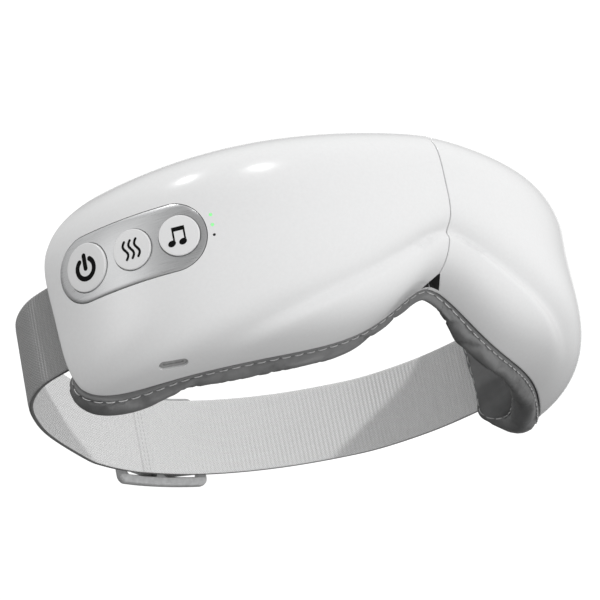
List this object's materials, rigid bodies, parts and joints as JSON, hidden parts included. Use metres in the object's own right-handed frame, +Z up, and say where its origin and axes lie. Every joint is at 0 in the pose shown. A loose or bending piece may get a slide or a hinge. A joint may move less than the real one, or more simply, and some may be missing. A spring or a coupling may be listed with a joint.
{
  "type": "eye massager mask",
  "caption": "Folding goggle-shaped eye massager with two padded halves on a nose hinge, side buttons, eye cups and an elastic head strap with a sliding buckle",
  "frame": {"origin": "at the root of the wearer's nose, on the mask's middle plane, about where the face comes to sit", "axes": "+X to the wearer's left, +Y to the back of the head, +Z up; the controls are on the wearer's right, -X"},
  "size_m": [0.2146, 0.1928, 0.0789],
  "materials": {
    "gloss_white": "high gloss",
    "inner_black": "matte",
    "frame_grey": "matte",
    "brushed_plate": "brushed, clear anodised",
    "button_white": "satin",
    "grey_leather": "soft grained, semi-matte",
    "cup_fabric": "fine knit",
    "strap_elastic": "ribbed elastic webbing",
    "buckle_grey": "satin",
    "steel": "nickel plated",
    "board_green": "solder mask",
    "battery_wrap": "shrink film",
    "airbag_film": "translucent film",
    "heater_film": "foil",
    "green_light": "lit lens",
    "dark_dot": "matte"
  },
  "bodies": {
    "right_half": {"right_shell": "gloss_white", "right_frame": "frame_grey", "right_end_cap": "inner_black", "right_pad": "grey_leather", "right_eye_cup": "cup_fabric", "right_heater": "heater_film", "right_airbag": "airbag_film", "right_motor": "steel", "right_speaker": "inner_black", "right_strap_clamp": "inner_black", "right_clamp_screw_1": "steel", "right_clamp_screw_2": "steel", "right_hinge_leaf": "steel", "right_hinge_screw_1": "steel", "right_hinge_screw_2": "steel", "right_strap": "strap_elastic", "left_strap": "strap_elastic", "hinge_pin": "steel", "nose_web": "grey_leather", "control_plate": "brushed_plate", "button_board": "board_green", "power_switch": "inner_black", "heat_switch": "inner_black", "music_switch": "inner_black", "upper_light": "green_light", "lower_light": "green_light", "microphone": "dark_dot", "charge_inlet": "steel", "main_board": "board_green"},
    "left_half": {"left_shell": "gloss_white", "left_frame": "frame_grey", "left_end_cap": "inner_black", "left_pad": "grey_leather", "left_eye_cup": "cup_fabric", "left_heater": "heater_film", "left_airbag": "airbag_film", "left_motor": "steel", "left_speaker": "inner_black", "left_strap_clamp": "inner_black", "left_clamp_screw_1": "steel", "left_clamp_screw_2": "steel", "left_hinge_leaf": "steel", "left_hinge_screw_1": "steel", "left_hinge_screw_2": "steel", "battery": "battery_wrap", "air_pump": "inner_black", "air_valve": "inner_black"},
    "power_button": {"power_button": "button_white"},
    "heat_button": {"heat_button": "button_white"},
    "music_button": {"music_button": "button_white"},
    "right_motor_weight": {"right_motor_weight": "steel"},
    "left_motor_weight": {"left_motor_weight": "steel"},
    "strap_buckle": {"strap_buckle": "buckle_grey"}
  },
  "joints": [
    {"name": "fold", "type": "hinge", "parent": "right_half", "child": "left_half", "pos_m": [0, -0.0103, 0], "axis": [0, 0, 1], "range_deg": [0, 100], "deforming": ["nose_web", "left_strap"]},
    {"name": "power_press", "type": "slide", "parent": "right_half", "child": "power_button", "axis": [0.9738, 0.2274, 0], "range_m": [0, 0.0006], "stiffness_N_per_m": 800},
    {"name": "heat_press", "type": "slide", "parent": "right_half", "child": "heat_button", "axis": [0.9049, 0.4257, 0], "range_m": [0, 0.0006], "stiffness_N_per_m": 800},
    {"name": "music_press", "type": "slide", "parent": "right_half", "child": "music_button", "axis": [0.7912, 0.6116, 0], "range_m": [0, 0.0006], "stiffness_N_per_m": 800},
    {"name": "right_motor_spin", "type": "hinge", "parent": "right_half", "child": "right_motor_weight", "pos_m": [-0.027, -0.01761, 0.024], "axis": [0, 0, 1], "continuous": true},
    {"name": "left_motor_spin", "type": "hinge", "parent": "left_half", "child": "left_motor_weight", "pos_m": [0.027, -0.01761, 0.024], "axis": [0, 0, 1], "continuous": true},
    {"name": "buckle_slide", "type": "hinge", "parent": "right_half", "child": "strap_buckle", "pos_m": [0.018, 0.0645, -0.012], "axis": [0, 0, 1], "range_deg": [-7, 7]}
  ]
}
